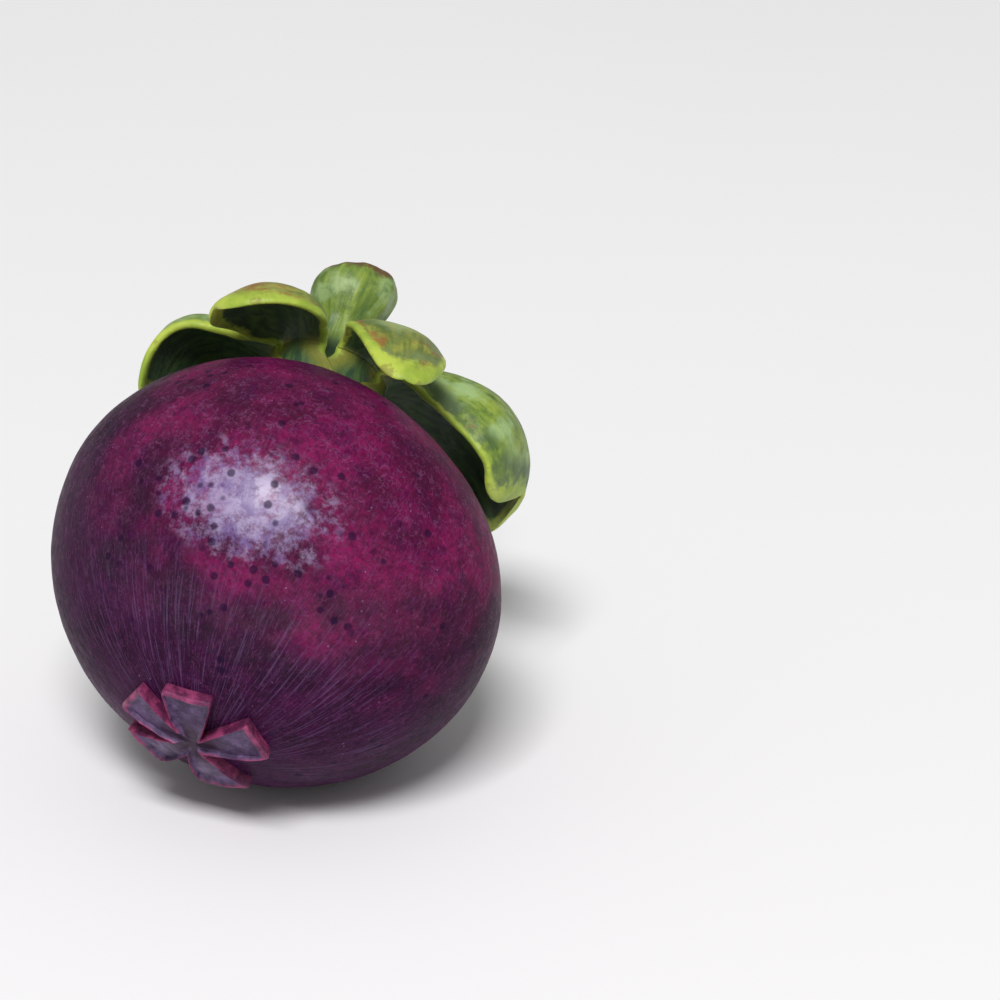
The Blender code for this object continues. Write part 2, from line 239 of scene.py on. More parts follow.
# The sepals' colours.
LEAF_DARK = (86, 116, 42)
LEAF_BRIGHT = (138, 162, 60)
LEAF_YELLOW = (164, 184, 76)
# Pale patches on the sepals' tops, partly a waxy tone and partly painted highlight.
LEAF_WAX_AND_HIGHLIGHT = (166, 196, 132)
LEAF_FOOT = (60, 86, 38)
LEAF_WARM = (186, 160, 70)
# Painted shade on the top beside the rim.
LEAF_PAINTED_SHADE = (52, 80, 38)
LEAF_RED = (150, 92, 48)
UNDER_DARK = (48, 74, 48)
UNDER_BRIGHT = (78, 106, 58)
UNDER_FOOT = (122, 126, 46)
RIM_DARK = (146, 172, 56)
RIM_BRIGHT = (184, 202, 76)
RIM_WORN = (124, 112, 50)
LEAF_SPECKS = (70, 70, 30)

# The stem's colours.
STEM_DARK = (70, 102, 44)
STEM_BRIGHT = (138, 160, 58)
STEM_PALE = (152, 178, 116)
STEM_BLOTCHES = (72, 100, 50)
# Painted shade for the stem's foot, down among the sepals' claws.
STEM_FOOT_PAINTED_SHADE = (32, 60, 34)
STEM_CUT = (104, 66, 38)

# The rosette's colours.
HOLLOW_DARK = (58, 38, 68)
HOLLOW_BRIGHT = (102, 80, 116)
HUB_DARK = (44, 12, 36)
PINK_DARK = (92, 14, 54)
PINK_BRIGHT = (158, 62, 104)
ROSETTE_SPECKS = (56, 18, 42)
ROSETTE_SHEEN = (226, 218, 255)

# ---------------------------------------------------------------- camera, lights and floor

CAMERA_ELEVATION = 25.0
CAMERA_DISTANCE = 0.50
VIEW_WIDTH = 0.1287
AIM_RIGHT = 0.0278
AIM_UP = 0.00824
SENSOR_WIDTH = 36.0

# The key light: the way to it from the fruit, the way that its long side runs, and its size and power.
KEY_WAY = (-0.06, -0.58, 0.81)
KEY_LONG_WAY = (0.88, -0.20, -0.44)
KEY_DISTANCE = 3.0
KEY_SIZE = (1.15, 0.66)
KEY_WATTS = 80.0
KEY_COLOUR = (1.0, 0.985, 1.0)
WORLD_STRENGTH = 0.30
FLOOR_HALF_WIDTH = 3.0
FLOOR_TONES = (0.955, 0.975)


def smoothstep(low, high, value):
    share = np.clip((value - low) / (high - low), 0.0, 1.0)
    return share * share * (3.0 - 2.0 * share)


def mix(a, b, share):
    return a + (b - a) * share


def unit(vectors):
    return vectors / np.linalg.norm(vectors, axis=-1, keepdims=True)


def vector(x, y, z):
    """Stacks three numbers or arrays into points."""
    return np.stack(np.broadcast_arrays(x, y, z), axis=-1)


def moved(matrix, points):
    """The points after a 4x4 matrix."""
    array = np.array(matrix)
    return points @ array[:3, :3].T + array[:3, 3]


def relief(points, layers, seed):
    """Height at each point from layers of (feature size, height)."""
    flat = points.reshape(-1, 3)
    total = np.zeros(len(flat))
    for size, height in layers:
        offset = Vector((seed, seed * 2.0, seed * 3.0))
        total += [height * noise.noise(Vector(point) / size + offset) for point in flat]
    return total.reshape(points.shape[:-1])


# ---------------------------------------------------------------- frames and the rind's shape


def fruit_turn():
    heading = Matrix.Rotation(math.radians(-FRUIT_HEADING), 4, "Z")
    lean = Matrix.Rotation(math.radians(-FRUIT_LEAN), 4, "X")
    spin = Matrix.Rotation(math.radians(FRUIT_SPIN), 4, "Z")
    return heading @ lean @ spin


def fruit_radius(directions):
    """How far the rind lies from the fruit's centre in each direction."""
    across = np.hypot(directions[..., 0], directions[..., 1])
    height = directions[..., 2]
    end = np.where(height > 0.0, STEM_END, STIGMA_END)
    radius = ((across / FRUIT_RADIUS) ** 2 + (height / end) ** 2) ** -0.5
    cheek = unit(np.array(CHEEK_DIRECTION))
    off_cheek = np.degrees(np.arccos(np.clip(directions @ cheek, -1.0, 1.0))) / CHEEK_SPREAD
    radius -= CHEEK_DEPTH * np.exp(-off_cheek * off_cheek)
    bearing = np.arctan2(directions[..., 1], directions[..., 0]) - math.radians(RIB_BEARING)
    return radius + RIB_HEIGHT * across * across * np.cos(RIB_COUNT * bearing)


def on_rind(points, height=0.0):
    """The places in the points' directions that stand this high above the rind."""
    directions = unit(points)
    return directions * (fruit_radius(directions) + height)[..., None]


def fruit_matrix():
    """The fruit's frame in the world, as it rests on its flat spot."""
    turn = fruit_turn()
    down = np.array(turn.to_3x3().transposed() @ Vector((0.0, 0.0, -1.0)))
    height = float(fruit_radius(down)) - FLAT_SPOT_DEPTH
    return Matrix.Translation((0.0, 0.0, height)) @ turn


def calyx_in_fruit():
    place = Matrix.Translation((CALYX_SHIFT_X, 0.0, CALYX_HEIGHT))
    return place @ Matrix.Rotation(math.radians(CALYX_TILT), 4, "Y")


# ---------------------------------------------------------------- meshes


def grid_faces(rows, columns, start=0, closed=False):
    """Squares between the points of a grid. A closed grid joins its last column to its first."""
    faces = []
    last = columns if closed else columns - 1
    for row in range(rows - 1):
        for column in range(last):
            beside = (column + 1) % columns
            low = start + row * columns
            high = low + columns
            faces.append((low + column, low + beside, high + beside, high + column))
    return faces


def fan_faces(ring_start, count, middle):
    return [(ring_start + side, ring_start + (side + 1) % count, middle) for side in range(count)]


def make_piece(name, points, faces, matrix, masks=None):
    """A smooth mesh object, put in the world by the matrix of the frame that its points are in.

    Its materials read the points in that frame as the attribute "place", and each mask by its own name.
    """
    mesh = bpy.data.meshes.new(name)
    mesh.from_pydata(moved(matrix, points).tolist(), [], faces)
    place = mesh.attributes.new("place", "FLOAT_VECTOR", "POINT")
    place.data.foreach_set("vector", np.ascontiguousarray(points, dtype=np.float32).ravel())
    for mask, values in (masks or {}).items():
        attribute = mesh.attributes.new(mask, "FLOAT", "POINT")
        attribute.data.foreach_set("value", np.ascontiguousarray(values, dtype=np.float32))
    bm = bmesh.new()
    bm.from_mesh(mesh)
    bmesh.ops.recalc_face_normals(bm, faces=bm.faces)
    bm.to_mesh(mesh)
    bm.free()
    mesh.shade_smooth()
    piece = bpy.data.objects.new(name, mesh)
    bpy.context.scene.collection.objects.link(piece)
    return piece


def add_to_model(piece, node, material):
    """The piece rides on the model's one body, stands for its CAD node and gets its material."""
    piece.data.materials.append(material)
    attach(piece, "root")
    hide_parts(node)


def rind_piece(matrix):
    """A finely divided cube blown up to the rind, with its relief, resting on a flat spot."""
    bm = bmesh.new()
    bmesh.ops.create_cube(bm, size=2.0)
    bmesh.ops.subdivide_edges(bm, edges=bm.edges, cuts=RIND_CUTS, use_grid_fill=True)
    bm.verts.index_update()
    cube = np.array([vertex.co for vertex in bm.verts])
    faces = [[vertex.index for vertex in face.verts] for face in bm.faces]
    bm.free()
    smooth = on_rind(np.tan(cube * math.pi / 4.0))
    points = on_rind(smooth, relief(smooth, RIND_RELIEF, RIND_SEED))
    world = moved(matrix, points)
    world[:, 2] = np.maximum(world[:, 2], 0.0)
    points = moved(matrix.inverted(), world)
    return make_piece("rind", points, faces, matrix)


# ---------------------------------------------------------------- the sepals' shape


def sepal_spine(spec, share):
    """Distance from the axis, height and slope of the spine. It runs on below the foot in the claw."""
    points = np.array(spec["spine"])
    inside = np.clip(share, 0.0, 1.0)[..., None]
    rest = 1.0 - inside
    place = points[0] * rest**3 + points[1] * (3.0 * rest**2 * inside)
    place = place + points[2] * (3.0 * rest * inside**2) + points[3] * inside**3
    way = (points[1] - points[0]) * rest**2 + (points[2] - points[1]) * (2.0 * rest * inside)
    way = unit(way + (points[3] - points[2]) * inside**2)
    below = np.clip(-share / CLAW_SHARE, 0.0, 1.0)[..., None]
    return place + np.array((CLAW_OUT, -CLAW_DROP)) * below, way


def sepal_half_width(spec, share, full, widest):
    growing = mix(spec["foot"], full, smoothstep(0.0, widest, share))
    past = np.clip((share - widest) / (1.0 - widest), 0.0, 1.0)
    closing = full * np.maximum(1.0 - past ** spec["fullness"], 0.0) ** (1.0 / spec["fullness"])
    claw = mix(1.0, CLAW_SPREAD, smoothstep(CLAW_SPREADS_FROM, CLAW_SPREADS_TO, -share))
    return np.where(share < widest, growing * claw, closing)


def sepal_half(spec, across):
    """Full width, curl and widest share of the half that each place lies in."""
    left = across < 0.0
    width = np.where(left, spec["left"][0], spec["right"][0])
    curl = np.radians(np.where(left, spec["left"][1], spec["right"][1]))
    return width, curl, np.where(left, *spec["widest"])


def sepal_blade(spec, share, across):
    """The open part of the sepal: a curled cross-section that follows the spine."""
    place, way = sepal_spine(spec, share)
    bearing = np.radians(spec["bearing"] + spec["swing"] * np.clip(share, 0.0, 1.0))
    outward = vector(np.cos(bearing), np.sin(bearing), 0.0)
    left = vector(-np.sin(bearing), np.cos(bearing), 0.0)
    upward = np.array((0.0, 0.0, 1.0))
    normal = outward * -way[..., 1:] + upward * way[..., :1]
    roll = np.radians(spec["roll"] * np.clip(share, 0.0, 1.0))[..., None]
    sideways = left * np.cos(roll) + normal * np.sin(roll)
    raised = unit(mix(normal * np.cos(roll) - left * np.sin(roll), upward, CURL_UPRIGHTNESS))
    full, full_curl, widest = sepal_half(spec, across)
    curl = full_curl * mix(FOOT_CURL_SHARE, 1.0, smoothstep(0.0, CURL_REACHED, share))
    width = sepal_half_width(spec, share, full, widest)
    turn = curl * np.abs(across)
    side = -np.sign(across) * width * np.sin(turn) / curl
    drop = width * (1.0 - np.cos(turn)) / curl
    middle = outward * place[..., :1] + upward * place[..., 1:]
    return middle + sideways * side[..., None] - raised * drop[..., None]


def sepal_claw(spec, share, across):
    """The sepal wrapped round the calyx's axis, as it is at its foot and below it."""
    place, _ = sepal_spine(spec, share)
    full, _, widest = sepal_half(spec, across)
    half_turn = sepal_half_width(spec, share, full, widest) / place[..., 0]
    bearing = math.radians(spec["bearing"]) - across * half_turn
    return vector(place[..., 0] * np.cos(bearing), place[..., 0] * np.sin(bearing), place[..., 1])


def clear_of_rind(points, clearance):
    """Eases calyx points outwards so that they stay at least this far above the rind."""
    to_fruit = calyx_in_fruit()
    inside = moved(to_fruit, points)
    directions = unit(inside)
    least = fruit_radius(directions) + clearance
    spare = np.linalg.norm(inside, axis=-1) - least
    eased = (spare + np.hypot(spare, CLEARANCE_SOFTNESS)) / 2.0
    return moved(to_fruit.inverted(), directions * (least + eased)[..., None])


def sepal_surface(spec, share, across):
    """The sepal's middle surface, from the end of its claw to its tip."""
    opened = smoothstep(0.0, WRAP_ENDS, share)[..., None]
    points = mix(sepal_claw(spec, share, across), sepal_blade(spec, share, across), opened)
    cleared = clear_of_rind(points, SEPAL_THICKNESS / 2.0 + RIND_CLEARANCE)
    return mix(points, cleared, opened)


def sepal_normal(spec, share, across):
    here = np.minimum(share, 1.0 - 2.0 * NORMAL_STEP)
    left = np.maximum(across - NORMAL_STEP, -1.0)
    right = np.minimum(across + NORMAL_STEP, 1.0)
    along = sepal_surface(spec, here + NORMAL_STEP, across) - sepal_surface(spec, here - NORMAL_STEP, across)
    side = sepal_surface(spec, here, right) - sepal_surface(spec, here, left)
    return unit(np.cross(side, along))


def sepal_edge_distance(spec, share, across):
    full, _, own_widest = sepal_half(spec, across)
    widest = sum(spec["widest"]) / 2.0
    past = np.clip((share - widest) / (1.0 - widest), 0.0, 1.0)
    out = np.sqrt(past**2 + across**2 * (1.0 - past**2))
    near_tip = (1.0 - out) * min(spec["left"][0], spec["right"][0])
    beside = (1.0 - np.abs(across)) * sepal_half_width(spec, share, full, own_widest)
    return np.where(share < widest, beside, near_tip)


def sepal_masks(spec, share, across, edge):
    """What the material reads at each point: those of the top, of the underside and of the tip."""
    full, _, _ = sepal_half(spec, across)
    over = np.zeros(share.size)
    masks = {"under": np.concatenate((over, over + 1.0, (0.5,)))}
    for mask, values, at_tip in (("edge", edge, 0.0), ("share", share, 1.0), ("aside", across * full, 0.0)):
        masks[mask] = np.concatenate((values.ravel(), values.ravel(), (at_tip,)))
    return masks


def sepal_piece(name, spec, matrix, seed):
    """Two skins that meet in a round edge, closed at the claw by a strip and at the tip by a point."""
    rows = np.linspace(0.0, 1.0, SEPAL_ROWS + 1)[:-1]
    shares = mix(-CLAW_SHARE, 1.0, np.sin(rows * math.pi / 2.0))
    places = -np.cos(np.linspace(0.0, math.pi, SEPAL_COLUMNS + 1))
    share, across = np.meshgrid(shares, places, indexing="ij")
    middle = sepal_surface(spec, share, across)
    normal = sepal_normal(spec, share, across)
    middle = middle + normal * relief(middle, SEPAL_RELIEF, seed)[..., None]
    edge = sepal_edge_distance(spec, share, across)
    thin = SEPAL_EDGE_THICKNESS / 2.0
    half = mix(thin, SEPAL_THICKNESS / 2.0, smoothstep(*SEPAL_THICKENS, edge))
    short = 1.0 - np.minimum(edge / thin, 1.0)
    thick = half * np.sqrt(np.maximum(1.0 - short**2, 0.0))
    top = middle + normal * thick[..., None]
    under = middle - normal * thick[..., None]
    tip = sepal_surface(spec, np.array(1.0), np.array(0.0))
    count = top.shape[0] * top.shape[1]
    points = np.concatenate((top.reshape(-1, 3), under.reshape(-1, 3), tip[None, :]))
    columns = SEPAL_COLUMNS + 1
    faces = grid_faces(SEPAL_ROWS, columns) + grid_faces(SEPAL_ROWS, columns, count)
    last = (SEPAL_ROWS - 1) * columns
    for column in range(SEPAL_COLUMNS):
        faces.append((last + column, last + column + 1, 2 * count))
        faces.append((count + last + column, count + last + column + 1, 2 * count))
        faces.append((column, column + 1, count + column + 1, count + column))
    piece = make_piece(name, points, faces, matrix, sepal_masks(spec, share, across, edge))
    weld(piece)
    return piece


def weld(piece):
    """Joins points that lie in one place, such as those of two skins along their shared edge."""
    bm = bmesh.new()
    bm.from_mesh(piece.data)
    bmesh.ops.remove_doubles(bm, verts=bm.verts, dist=1e-7)
    bmesh.ops.recalc_face_normals(bm, faces=bm.faces)
    bm.to_mesh(piece.data)
    bm.free()


# ---------------------------------------------------------------- stem and stigma


def profile_curve(points, count):
    """Evenly spaced points on a smooth curve through the profile's points."""
    knots = np.array(points)
    padded = np.concatenate((knots[:1] * 2.0 - knots[1:2], knots, knots[-1:] * 2.0 - knots[-2:-1]))
    out = []
    for place in np.linspace(0.0, len(knots) - 1.0001, count):
        start = int(place)
        t = place - start
        a, b, c, d = padded[start : start + 4]
        bend = (2 * a - 5 * b + 4 * c - d) * t**2 + (3 * b - a - 3 * c + d) * t**3
        out.append(b + 0.5 * ((c - a) * t + bend))
    return np.array(out)


def stem_piece(matrix):
    """The collar, the ridged stem and its cut end with a raised rim."""
    profile = profile_curve(STEM_PROFILE, STEM_RINGS)
    turns = np.linspace(0.0, 2.0 * math.pi, STEM_SIDES, endpoint=False)
    ring, turn = np.meshgrid(np.arange(STEM_RINGS), turns, indexing="ij")
    height = profile[ring, 0]
    radius = profile[ring, 1]
    ridged = smoothstep(*STEM_RIDGES_FADE_IN, height) * smoothstep(*STEM_RIDGES_REACH_IN, radius)
    ridge = STEM_RIDGE_DEPTH * ridged * np.cos(STEM_RIDGES * turn + 0.6 * np.sin(3.0 * turn))
    reach = radius * (1.0 + ridge)
    points = vector(reach * np.cos(turn), reach * np.sin(turn), height)
    wobble = relief(points * np.array(STEM_RELIEF_STRETCH), STEM_RELIEF, STEM_SEED)
    outward = vector(np.cos(turn), np.sin(turn), 0.0)
    points = points + outward * (wobble * ridged)[..., None]
    points[..., 2] += STEM_TOP_SLOPE * points[..., 0] * smoothstep(*STEM_SLOPES_OVER, height)
    points[..., 0] += STEM_BEND * (np.maximum(height, 0.0) / STEM_TOP_HEIGHT) ** 2
    flat = points.reshape(-1, 3)
    ends = np.array(((0.0, 0.0, STEM_PROFILE[0][0]), (0.0, 0.0, STEM_PROFILE[-1][0])))
    faces = grid_faces(STEM_RINGS, STEM_SIDES, closed=True)
    faces += fan_faces(0, STEM_SIDES, len(flat))
    faces += fan_faces((STEM_RINGS - 1) * STEM_SIDES, STEM_SIDES, len(flat) + 1)
    masks = {
        "turn": np.concatenate((turn.ravel(), (0.0, 0.0))),
        "height": np.concatenate((height.ravel(), ends[:, 2])),
    }
    return make_piece("stem", np.concatenate((flat, ends)), faces, matrix, masks)


def lobe_reach(offset, length, half_width):
    """How far a wedge-shaped lobe reaches at angles from its middle line."""
    side = np.radians(np.minimum(np.abs(offset), LOBE_REACHES_TO_SIDE))
    end = length / np.cos(side)
    slope = (half_width - LOBE_FOOT_HALF_WIDTH) / length
    opening = np.maximum(np.sin(side) - slope * np.cos(side), 1e-6)
    flank = LOBE_FOOT_HALF_WIDTH / opening
    power = LOBE_CORNER_SHARPNESS
    reach = (end**-power + flank**-power) ** (-1.0 / power)
    return np.where(np.abs(offset) < LOBE_REACHES_TO_SIDE, reach, 0.0)


def stigma_reach(bearing):
    reaches = []
    for middle, length, half_width in STIGMA_LOBES:
        offset = (bearing - middle + 180.0) % 360.0 - 180.0
        reaches.append(lobe_reach(offset, length, half_width))
    return np.max(reaches, axis=0)


def stigma_bearings():
    """Bearings round the rosette, spaced by how far apart the rosette's outline points lie."""
    fine = np.linspace(0.0, 360.0, 7200, endpoint=False)
    reach = stigma_reach(fine)
    x = reach * np.cos(np.radians(fine))
    y = reach * np.sin(np.radians(fine))
    step = np.hypot(np.roll(x, -1) - x, np.roll(y, -1) - y)
    travelled = np.concatenate(((0.0,), np.cumsum(step)))
    wanted = np.linspace(0.0, travelled[-1], STIGMA_SIDES, endpoint=False)
    return np.interp(wanted, travelled, np.append(fine, 360.0))


def stigma_place(bearing, distance, height):
    """Points over the stigma end of the rind."""
    x = distance * np.cos(np.radians(bearing)) + STIGMA_SHIFT[0]
    y = distance * np.sin(np.radians(bearing)) + STIGMA_SHIFT[1]
    reach = np.hypot(x, y)
    angle = reach / STIGMA_END
    sine = np.sin(angle) / np.maximum(reach, 1e-9)
    return on_rind(vector(x * sine, y * sine, -np.cos(angle)), height)


def stigma_piece(matrix):
    """The rosette: hub, hollow lobes with raised rims, and steep sides that go down into the rind."""
    bearings = stigma_bearings()
    inner = np.sin(np.linspace(0.02, 1.0, STIGMA_RINGS) * math.pi / 2.0)
    share, bearing = np.meshgrid(inner, bearings, indexing="ij")
    reach = stigma_reach(bearing)
    from_edge = (1.0 - share) * reach
    hollow = mix(HUB_HEIGHT, HOLLOW_HEIGHT, smoothstep(0.1, 0.5, share))
    rim = (1.0 - smoothstep(0.4, 1.5, from_edge / RIM_WIDTH)) * smoothstep(0.25, 0.6, share)
    rounded = np.sqrt(np.clip(from_edge / (RIM_WIDTH * 0.4), 0.0, 1.0))
    height = mix(hollow, RIM_HEIGHT, rim) * mix(0.75, 1.0, rounded)
    top = stigma_place(bearing, share * reach, height)
    top = top + unit(top) * relief(top, STIGMA_RELIEF, STIGMA_SEED)[..., None]
    foot_reach = reach[-1] * 1.02 + 0.0001
    foot = stigma_place(bearings, foot_reach, -STIGMA_SINKS)
    flat = np.concatenate((top.reshape(-1, 3), foot))
    ends = np.stack((stigma_place(0.0, 0.0, HUB_HEIGHT), stigma_place(0.0, 0.0, -STIGMA_SINKS)))
    faces = grid_faces(STIGMA_RINGS + 1, STIGMA_SIDES, closed=True)
    faces += fan_faces(0, STIGMA_SIDES, len(flat))
    faces += fan_faces(STIGMA_RINGS * STIGMA_SIDES, STIGMA_SIDES, len(flat) + 1)
    masks = {
        "rim": np.concatenate((rim.ravel(), np.ones(STIGMA_SIDES), (0.0, 0.0))),
        "share": np.concatenate((share.ravel(), np.ones(STIGMA_SIDES), (0.0, 0.0))),
    }
    return make_piece("stigma_rosette", np.concatenate((flat, ends)), faces, matrix, masks)


# ---------------------------------------------------------------- materials


class Graph:
    """A material's node tree, built with short calls."""

    def __init__(self, name):
        self.material = bpy.data.materials.new(name)
        self.material.use_nodes = True
        self.tree = self.material.node_tree
        self.shader = self.tree.nodes["Principled BSDF"]

    def feed(self, socket, value):
        if isinstance(value, bpy.types.NodeSocket):
            self.tree.links.new(value, socket)
        else:
            socket.default_value = value

    def add(self, kind, inputs, **settings):
        node = self.tree.nodes.new(kind)
        for name, value in settings.items():
            setattr(node, name, value)
        for name, value in inputs.items():
            self.feed(node.inputs[name], value)
        return node

    def mask(self, name):
        return self.add("ShaderNodeAttribute", {}, attribute_name=name).outputs["Fac"]

    def place(self):
        """Where each point is in the frame that its piece was made in."""
        return self.add("ShaderNodeAttribute", {}, attribute_name="place").outputs["Vector"]

    def maths(self, operation, a, b=0.0):
        return self.add("ShaderNodeMath", {0: a, 1: b}, operation=operation).outputs[0]

    def combine(self, x, y, z):
        return self.add("ShaderNodeCombineXYZ", {"X": x, "Y": y, "Z": z}).outputs[0]

    def facing(self, way, middle):
        """How far unit vectors agree with a direction: 1 along it, 0 across it."""
        inputs = {0: way, 1: tuple(Vector(middle).normalized())}
        return self.add("ShaderNodeVectorMath", inputs, operation="DOT_PRODUCT").outputs["Value"]

    def apart(self, way, middle, reach):
        """How far unit vectors lie from a direction, in parts of the reach along each axis."""
        off = self.add("ShaderNodeVectorMath", {0: way, 1: middle}, operation="SUBTRACT").outputs[0]
        shares = self.add("ShaderNodeVectorMath", {0: off, 1: reach}, operation="DIVIDE").outputs[0]
        return self.add("ShaderNodeVectorMath", {0: shares}, operation="LENGTH").outputs["Value"]

    def noise(self, where, scale, detail=2.0, roughness=0.5, distortion=0.0):
        inputs = {"Vector": where, "Scale": scale, "Detail": detail}
        inputs.update({"Roughness": roughness, "Distortion": distortion})
        return self.add("ShaderNodeTexNoise", inputs).outputs["Fac"]

    def cells(self, where, scale, randomness=1.0):
        inputs = {"Vector": where, "Scale": scale, "Randomness": randomness}
        return self.add("ShaderNodeTexVoronoi", inputs).outputs["Distance"]

    def step(self, value, low, high, start=0.0, end=1.0):
        """Rises smoothly from start to end as the value goes from low to high."""
        inputs = {"Value": value, "From Min": low, "From Max": high, "To Min": start, "To Max": end}
        return self.add("ShaderNodeMapRange", inputs, interpolation_type="SMOOTHSTEP").outputs["Result"]

    def blend(self, share, a, b):
        node = self.tree.nodes.new("ShaderNodeMix")
        node.data_type = "RGBA"
        self.feed(node.inputs["Factor"], share)
        for socket, value in ((node.inputs[6], a), (node.inputs[7], b)):
            self.feed(socket, value)
        return node.outputs[2]

    def finish(self, colour, roughness, height, bump, **plain):
        """Feeds the shader: colour, roughness and bump are linked, and the rest are plain values."""
        node = self.add("ShaderNodeBump", {"Height": height, "Strength": 1.0, "Distance": bump})
        self.feed(self.shader.inputs["Base Color"], colour)
        self.feed(self.shader.inputs["Roughness"], roughness)
        self.feed(self.shader.inputs["Normal"], node.outputs["Normal"])
        for name, value in plain.items():
            self.shader.inputs[name.replace("_", " ")].default_value = value
        return self.material


def srgb(screen_colour):
    """A screen colour as the linear colour that shaders use."""
    linear = []
    for part in screen_colour:
        share = part / 255.0
        linear.append(share / 12.92 if share <= 0.04045 else ((share + 0.055) / 1.055) ** 2.4)
    return (*linear, 1.0)


def meridian_place(graph, around, along):
    """Coordinates that run from pole to pole, for streaks that follow the fruit's sides.

    around is how many features fit in a radian round the fruit, and along the same from pole to pole.
    """
    where = graph.place()
    parts = graph.add("ShaderNodeSeparateXYZ", {"Vector": where}).outputs
    x, y, z = parts["X"], parts["Y"], parts["Z"]
    squares = graph.maths("ADD", graph.maths("MULTIPLY", x, x), graph.maths("MULTIPLY", y, y))
    reach = graph.maths("MAXIMUM", graph.maths("SQRT", squares), 1e-5)
    height = graph.maths("ARCTAN2", z, reach)
    return graph.combine(
        graph.maths("MULTIPLY", graph.maths("DIVIDE", x, reach), around),
        graph.maths("MULTIPLY", graph.maths("DIVIDE", y, reach), around),
        graph.maths("MULTIPLY", height, along),
    )


def curls(graph, where, scale, width):
    """Thin curly lines, which follow where a noise passes through its middle value."""
    level = graph.noise(where, scale, 2.0, 0.55, 0.8)
    off_middle = graph.maths("ABSOLUTE", graph.maths("SUBTRACT", level, 0.5))
    return graph.step(off_middle, width, width * 0.2)


def rind_ground(graph, where, way, height):
    """Painted light and shade on red rind, violet clouds, painted sheen at the stem end and fine dark grain.
    """
    patches = graph.noise(where, 120.0, 3.0)
    patchy = graph.step(patches, 0.36, 0.64)
    colour = graph.blend(patchy, srgb(PAINTED_LIT_DARK), srgb(PAINTED_LIT_BRIGHT))
    painted_shade_colour = graph.blend(patchy, srgb(PAINTED_SHADE_DARK), srgb(PAINTED_SHADE_BRIGHT))
    wavy = graph.step(patches, 0.3, 0.7, -0.14, 0.14)
    # Painted light and shade: redder and lighter towards one side of the fruit and dark away from it.
    painted_light = graph.maths("ADD", graph.facing(way, PAINTED_LIGHT_FACING), wavy)
    colour = graph.blend(graph.step(painted_light, 0.15, 0.85), painted_shade_colour, colour)
    violet = graph.step(graph.noise(where, 330.0, 4.0, 0.65), 0.46, 0.66, 0.0, 0.55)
    colour = graph.blend(violet, colour, srgb(RIND_VIOLET))
    # Painted sheen: lighter violet towards the stem end.
    high = graph.step(height, 0.006, 0.024, 0.0, 0.30)
    colour = graph.blend(high, colour, srgb(RIND_PAINTED_SHEEN))
    grain = graph.step(graph.noise(where, 1500.0, 2.0, 0.7), 0.40, 0.62, 0.0, 0.45)
    return graph.blend(grain, colour, srgb(RIND_GRAIN))


def rind_curls(graph, where, height):
    """Thin broken curls, fewer towards the rosette."""
    broken = graph.step(graph.noise(where, 700.0, 2.0, 0.6), 0.42, 0.58)
    thin = graph.maths("MULTIPLY", curls(graph, where, 900.0, 0.045), broken)
    return graph.maths("MULTIPLY", thin, graph.step(height, -0.016, 0.004, 0.3, 1.0))


def add_rind_lines(graph, colour, thin, height):
    """Draws the curls, short strokes and, round the rosette, long fine rays."""
    colour = graph.blend(graph.maths("MULTIPLY", thin, 0.34), colour, srgb(RIND_CURLS))
    strokes = graph.noise(meridian_place(graph, 120.0, 30.0), 1.0, 2.0, 0.6, 0.8)
    colour = graph.blend(graph.step(strokes, 0.54, 0.68, 0.0, 0.4), colour, srgb(RIND_STROKES))
    near_stigma = graph.step(height, -0.010, -0.022)
    rays = graph.noise(meridian_place(graph, 70.0, 3.2), 1.0, 3.0, 0.65, 0.2)
    rays = graph.maths("MULTIPLY", graph.step(rays, 0.52, 0.66, 0.0, 0.36), near_stigma)
    return graph.blend(rays, colour, srgb(RIND_RAYS))


def add_painted_highlight(graph, colour, where, off_highlight, speckle):
    """Painted highlight: a pale lavender patch, solid in its middle and feathered out in specks."""
    highlight = graph.step(off_highlight, 1.0, 0.1)
    feathered = graph.maths("ADD", highlight, graph.step(speckle, 0.32, 0.68, -0.40, 0.40))
    feathered = graph.step(feathered, 0.0, 1.1, 0.0, 0.86)
    highlight = graph.maths("MULTIPLY", feathered, graph.step(highlight, 0.0, 0.12))
    streaky = graph.noise(where, 300.0, 4.0, 0.7, 0.5)
    highlight_paint = graph.blend(graph.step(streaky, 0.40, 0.60), srgb(PAINTED_HIGHLIGHT_DARK), srgb(PAINTED_HIGHLIGHT_BRIGHT))
    return graph.blend(highlight, colour, highlight_paint)


def rind_spots(graph, where, off_highlight):
    """Round dark spots in loose groups, more of them near the painted highlight."""
    near_highlight = graph.step(off_highlight, 1.7, 0.7, 0.0, 0.16)
    some = graph.step(graph.maths("ADD", graph.noise(where, 150.0, 2.0), near_highlight), 0.50, 0.60)
    return graph.maths("MULTIPLY", graph.step(graph.cells(where, 430.0), 0.30, 0.16), some)


def rind_flecks(graph, where):
    """Small pale flecks in loose groups."""
    flecks = graph.step(graph.cells(where, 760.0), 0.12, 0.05, 0.0, 0.5)
    return graph.maths("MULTIPLY", flecks, graph.step(graph.noise(where, 240.0, 2.0), 0.52, 0.62))


